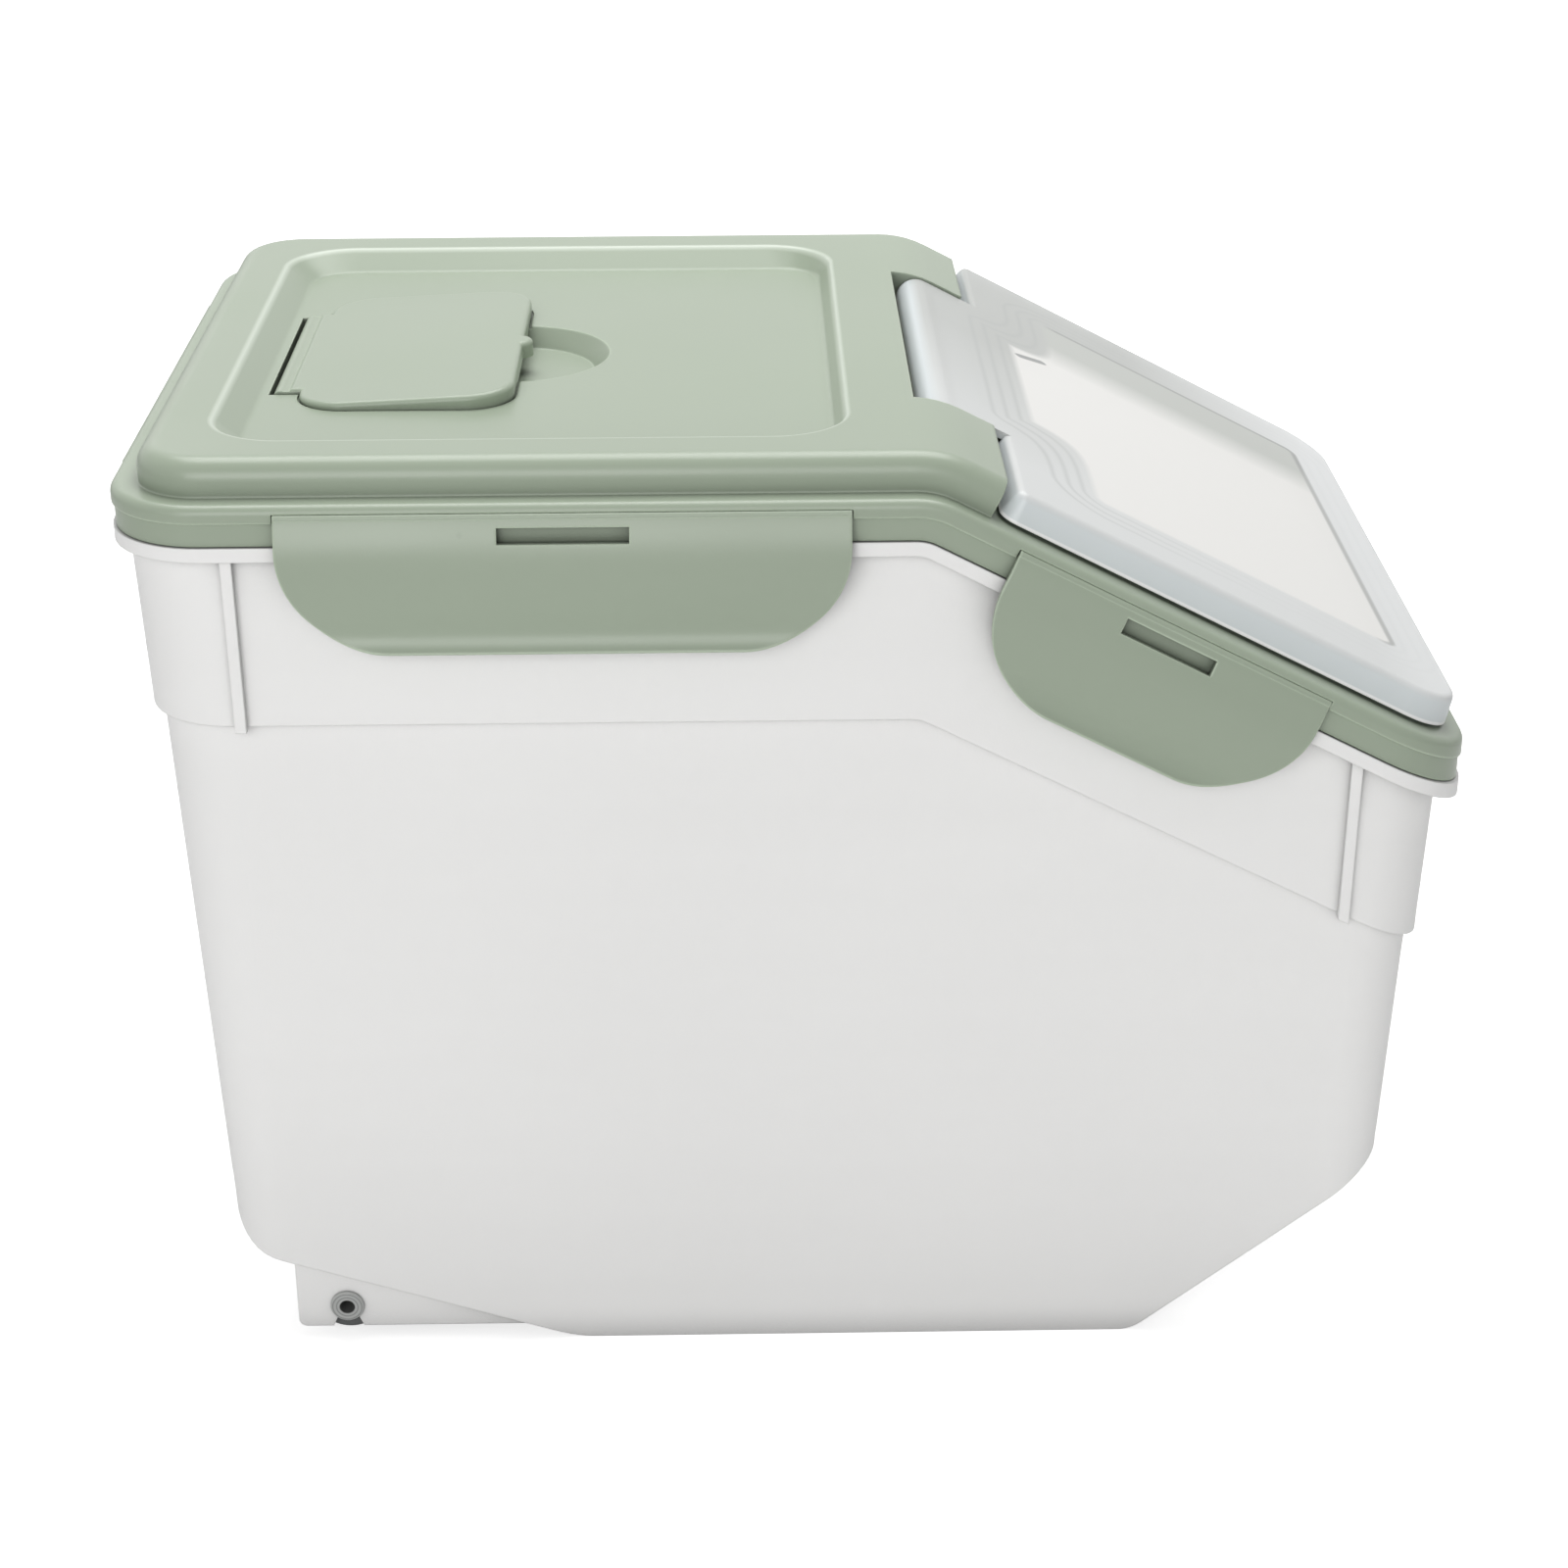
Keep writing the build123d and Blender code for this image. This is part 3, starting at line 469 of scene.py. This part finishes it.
def highlightedLidMaterial(name, look, edge):
    material = mouldedMaterial(name, look)
    tree = material.node_tree
    coords = addNode(tree, "ShaderNodeTexCoord", (-3000, 500))
    along, across, height = addSplit(tree, (-2800, 500), coords.outputs["Object"])
    distance = addBoxDistance(tree, (-2600, 800), along, across, edge["shape"])
    offLine = addMath(tree, (-1300, 800), "ADD", distance, edge["offset"])
    offLine = addMath(tree, (-1150, 800), "ABSOLUTE", offLine)
    line = addRange(tree, (-950, 800), offLine, (0.0, edge["width"]), (edge["strength"], 0.0))
    high = addRange(tree, (-950, 600), height, edge["heights"])
    amount = addMath(tree, (-750, 700), "MULTIPLY", line, high)
    edged = mixColor(tree, (-400, 600), amount, tree.nodes["Surface"].outputs["Color"], edge["color"])
    tree.links.new(edged, tree.nodes["Principled BSDF"].inputs["Base Color"])
    return material


# Plastics of the pieces; the lid's is also that of its hatch and latches
tubPlastic = {
    "color": (0.845, 0.842, 0.832),
    "roughness": 0.4,
    "variation": 0.012,
    "edgeRadius": 0.0008,
    "edgeHighlightStrength": 0.06,
    "grainDepth": 0.00002,
    "speckDensity": 0.05,
    "seamShadeReach": 0.016,
}
lidPlastic = {
    "color": (0.322, 0.379, 0.292),
    "roughness": 0.33,
    "variation": 0.02,
    "edgeRadius": 0.0011,
    "edgeHighlightStrength": 0.9,
    "grainDepth": 0.000012,
    "speckDensity": 0.02,
    "seamShadeReach": 0.007,
}
rollerPlastic = {
    "color": (0.115, 0.12, 0.12),
    "roughness": 0.5,
    "variation": 0.05,
    "edgeRadius": 0.0005,
    "edgeHighlightStrength": 0.2,
    "grainDepth": 0.00004,
    "speckDensity": 0.12,
    "seamShadeReach": 0.002,
}
axlePlastic = {
    "color": (0.43, 0.44, 0.43),
    "roughness": 0.42,
    "variation": 0.04,
    "edgeRadius": 0.0003,
    "edgeHighlightStrength": 0.15,
    "grainDepth": 0.00002,
    "speckDensity": 0.08,
    "seamShadeReach": 0.0015,
}
sealSilicone = {
    "color": (0.66, 0.68, 0.67),
    "roughness": 0.6,
    "variation": 0.03,
    "edgeRadius": 0.0005,
    "edgeHighlightStrength": 0.05,
    "grainDepth": 0.00003,
    "speckDensity": 0.05,
    "seamShadeReach": 0.002,
}
flipLidPlastic = {
    "color": (0.545, 0.56, 0.54),
    "roughness": 0.34,
    "variation": 0.01,
    "edgeRadius": 0.0006,
    "edgeHighlightStrength": 0.3,
    "grainDepth": 0.00001,
    "speckDensity": 0.02,
    "seamShadeReach": 0.001,
}

materials = {
    "white_plastic": mouldedMaterial("WhiteTubPlastic", tubPlastic),
    "green_plastic": highlightedLidMaterial("SageLidPlastic", lidPlastic, panelEdgeHighlight),
    "grey_plastic": mouldedMaterial("RollerPlastic", rollerPlastic),
    "light_grey_plastic": ringedMaterial("AxlePlastic", axlePlastic, axleRings),
    "seal_rubber": mouldedMaterial("SealSilicone", sealSilicone),
    "frosted_plastic": frostedMaterial("FrostedFlipLid", flipLidPlastic, flipLidLook),
}
latchMaterial = gateMarkedMaterial("SageLatchPlastic", lidPlastic, gateMark)
print("materials made")

nodeFinish = {part["node"]: part["material_slot"] for part in frame["record"]["subparts"]}
for nodeName, nodeObject in nodes.items():
    isLongLatch = nodeName.startswith("side_latch_rear")
    finish = latchMaterial if isLongLatch else materials[nodeFinish[nodeName]]
    for slot in nodeObject.material_slots:
        slot.material = finish
print("finishes given")

# Camera read from the photograph: place in metres, turns in radians
cameraLook = {
    "place": (-0.01708, -0.91967, 0.56912),
    "pitch": 0.4342,
    "yaw": 0.0146,
    "roll": -0.0046,
    "photoSide": 1600,
    "focalPixels": 3096.5,
    "sensorWidth": 36.0,
}
studio = {
    "floorSize": 6.0,
    "floorColor": (0.86, 0.86, 0.86),
    "floorGlow": 0.62,
    "glowReach": (0.9, 2.2),
    "worldSoft": 0.32,
    "worldSeen": 1.0,
    "lightAim": (0.0, 0.0, 0.15),
}
softboxes = {
    "TopSoftbox": {"place": (0.0, 0.45, 1.55), "size": (1.3, 1.0), "watts": 19.0},
    "FrontSoftbox": {"place": (-0.4, -1.9, 0.85), "size": (1.4, 1.0), "watts": 16.8},
    "RearStrip": {"place": (-0.9, 1.7, 1.0), "size": (0.8, 0.12), "watts": 0.6},
}


def makeCamera(look):
    pitch, yaw, roll = look["pitch"], look["yaw"], look["roll"]
    level = math.cos(pitch)
    forward = Vector((math.sin(yaw) * level, math.cos(yaw) * level, -math.sin(pitch)))
    right = Vector((math.cos(yaw), -math.sin(yaw), 0.0))
    up = right.cross(forward)
    turnedRight = right * math.cos(roll) + up * math.sin(roll)
    turnedUp = up * math.cos(roll) - right * math.sin(roll)
    axes = Matrix((turnedRight, turnedUp, -forward)).transposed().to_4x4()
    data = bpy.data.cameras.new("Camera")
    data.sensor_width = look["sensorWidth"]
    data.lens = look["sensorWidth"] * look["focalPixels"] / look["photoSide"]
    camera = bpy.data.objects.new("Camera", data)
    camera.matrix_world = Matrix.Translation(look["place"]) @ axes
    bpy.context.scene.collection.objects.link(camera)
    bpy.context.scene.camera = camera


# White paper to the camera, still shaded where the object keeps the light off
def makeFloor(look):
    material = bpy.data.materials.new("FloorPaper")
    material.use_nodes = True
    tree = material.node_tree
    tree.nodes.clear()
    output = addNode(tree, "ShaderNodeOutputMaterial", (400, 0))
    matte = addNode(tree, "ShaderNodeBsdfDiffuse", (0, -100))
    matte.inputs["Color"].default_value = (*look["floorColor"], 1.0)
    path = addNode(tree, "ShaderNodeLightPath", (-400, 200))
    coords = addNode(tree, "ShaderNodeTexCoord", (-800, 400))
    away = addNode(tree, "ShaderNodeVectorMath", (-600, 400), operation="LENGTH")
    tree.links.new(coords.outputs["Object"], away.inputs[0])
    level = addRange(tree, (-400, 400), away.outputs["Value"], look["glowReach"], (look["floorGlow"], 1.0))
    strength = addMath(tree, (-200, 200), "MULTIPLY", path.outputs["Is Camera Ray"], level)
    glow = addNode(tree, "ShaderNodeEmission", (0, 100))
    tree.links.new(strength, glow.inputs["Strength"])
    both = addNode(tree, "ShaderNodeAddShader", (200, 0))
    tree.links.new(glow.outputs[0], both.inputs[0])
    tree.links.new(matte.outputs[0], both.inputs[1])
    tree.links.new(both.outputs[0], output.inputs["Surface"])
    size = look["floorSize"]
    corners = [(-size, -size, 0), (size, -size, 0), (size, size, 0), (-size, size, 0)]
    mesh = bpy.data.meshes.new("Floor")
    mesh.from_pydata(corners, [], [(0, 1, 2, 3)])
    mesh.materials.append(material)
    floor = bpy.data.objects.new("Floor", mesh)
    bpy.context.scene.collection.objects.link(floor)


def makeSoftbox(name, look, aim):
    data = bpy.data.lights.new(name, "AREA")
    data.shape = "RECTANGLE"
    data.size, data.size_y = look["size"]
    data.energy = look["watts"]
    light = bpy.data.objects.new(name, data)
    direction = Vector(aim) - Vector(look["place"])
    turn = direction.to_track_quat("-Z", "Y").to_matrix().to_4x4()
    light.matrix_world = Matrix.Translation(look["place"]) @ turn
    bpy.context.scene.collection.objects.link(light)


# Soft light all round; white where the camera, a gloss or a clear part sees it
def makeWorld(look):
    world = bpy.data.worlds.new("Studio")
    world.use_nodes = True
    tree = world.node_tree
    tree.nodes.clear()
    output = addNode(tree, "ShaderNodeOutputWorld", (600, 0))
    background = addNode(tree, "ShaderNodeBackground", (400, 0))
    background.inputs["Color"].default_value = (1.0, 1.0, 1.0, 1.0)
    rays = addNode(tree, "ShaderNodeLightPath", (-400, 200)).outputs
    seen = addMath(tree, (-200, 200), "MAXIMUM", rays["Is Camera Ray"], rays["Is Glossy Ray"])
    seen = addMath(tree, (0, 200), "MAXIMUM", seen, rays["Is Transmission Ray"])
    soft = look["worldSoft"]
    strength = addMath(tree, (200, 100), "MULTIPLY_ADD", seen, look["worldSeen"] - soft, soft)
    tree.links.new(strength, background.inputs["Strength"])
    tree.links.new(background.outputs[0], output.inputs["Surface"])
    bpy.context.scene.world = world


makeCamera(cameraLook)
makeFloor(studio)
makeWorld(studio)
for softboxName, softboxLook in softboxes.items():
    makeSoftbox(softboxName, softboxLook, studio["lightAim"])
bpy.context.scene.view_settings.view_transform = "Standard"
print("stage set")
